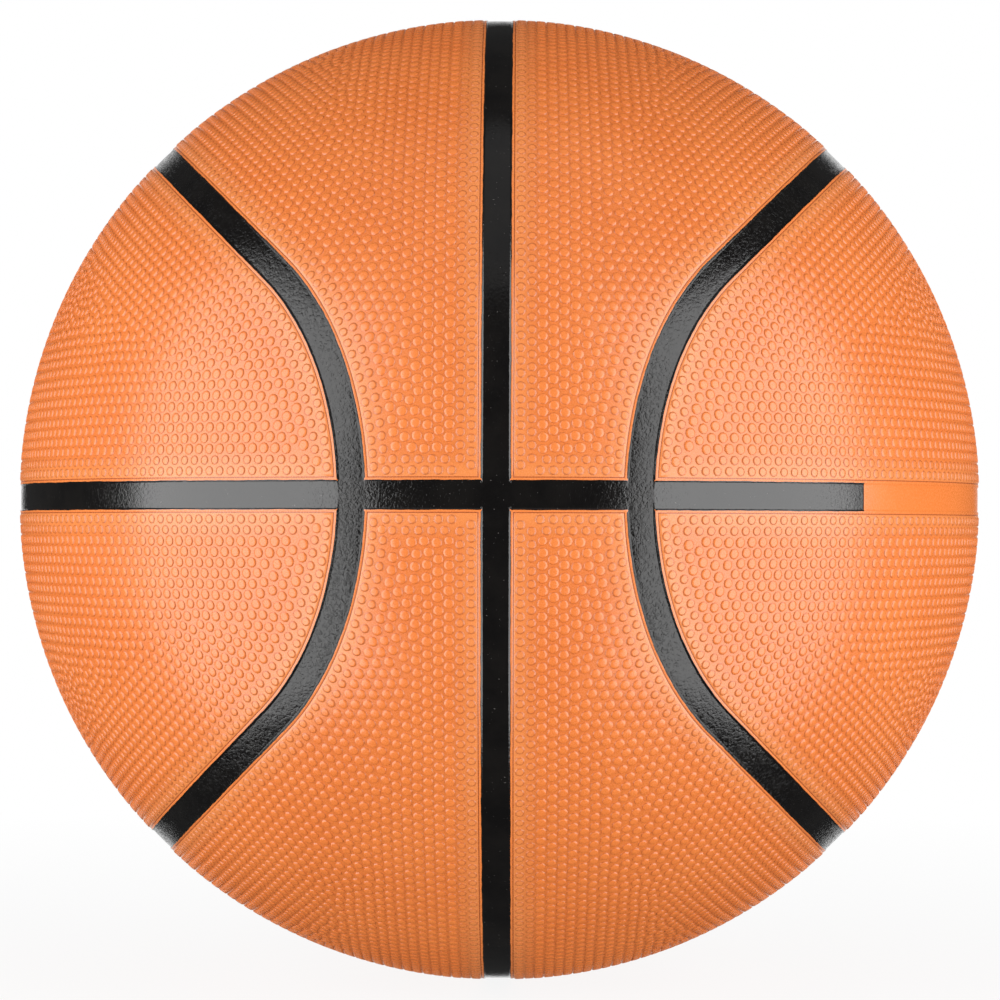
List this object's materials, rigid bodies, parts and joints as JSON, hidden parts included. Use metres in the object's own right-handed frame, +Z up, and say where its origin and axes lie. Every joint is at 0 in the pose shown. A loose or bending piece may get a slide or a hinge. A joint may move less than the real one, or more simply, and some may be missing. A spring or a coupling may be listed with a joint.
{
  "type": "basketball",
  "caption": "Moulded rubber basketball with a pebbled orange cover, black channels and a self-sealing valve, for bouncing, passing and throwing at a hoop.",
  "frame": {"origin": "centre of the ball", "axes": "+Z up through the valve, +X to the right and -Y to the front, where the upright channel crosses the level channel"},
  "size_m": [0.2418, 0.2418, 0.2418],
  "materials": {
    "cover_rubber": "pebbled, low sheen",
    "channel_ink": "glossy, finely wrinkled",
    "centre_rubber": "matt",
    "thread": "wound nylon thread",
    "bladder_rubber": "smooth, matt",
    "valve_rubber": "smooth, satin",
    "plug_rubber": "smooth, satin"
  },
  "bodies": {
    "root": {"bladder": "bladder_rubber", "winding": "thread", "carcass": "centre_rubber", "valve_housing": "valve_rubber", "valve_plug": "plug_rubber", "panel_waist_upper_right": "cover_rubber", "panel_waist_upper_left": "cover_rubber", "panel_waist_lower_right": "cover_rubber", "panel_waist_lower_left": "cover_rubber", "panel_side_upper_right": "cover_rubber", "panel_side_upper_left": "cover_rubber", "panel_side_lower_right": "cover_rubber", "panel_side_lower_left": "cover_rubber", "ink_meridian": "channel_ink", "ink_loop_right": "channel_ink", "ink_loop_left": "channel_ink", "ink_equator_front_right": "channel_ink", "ink_equator_front_left": "channel_ink", "ink_equator_back_right": "channel_ink", "ink_equator_back_left": "channel_ink", "ink_equator_left": "channel_ink", "ink_stub_front": "channel_ink", "ink_stub_back": "channel_ink"}
  },
  "joints": []
}
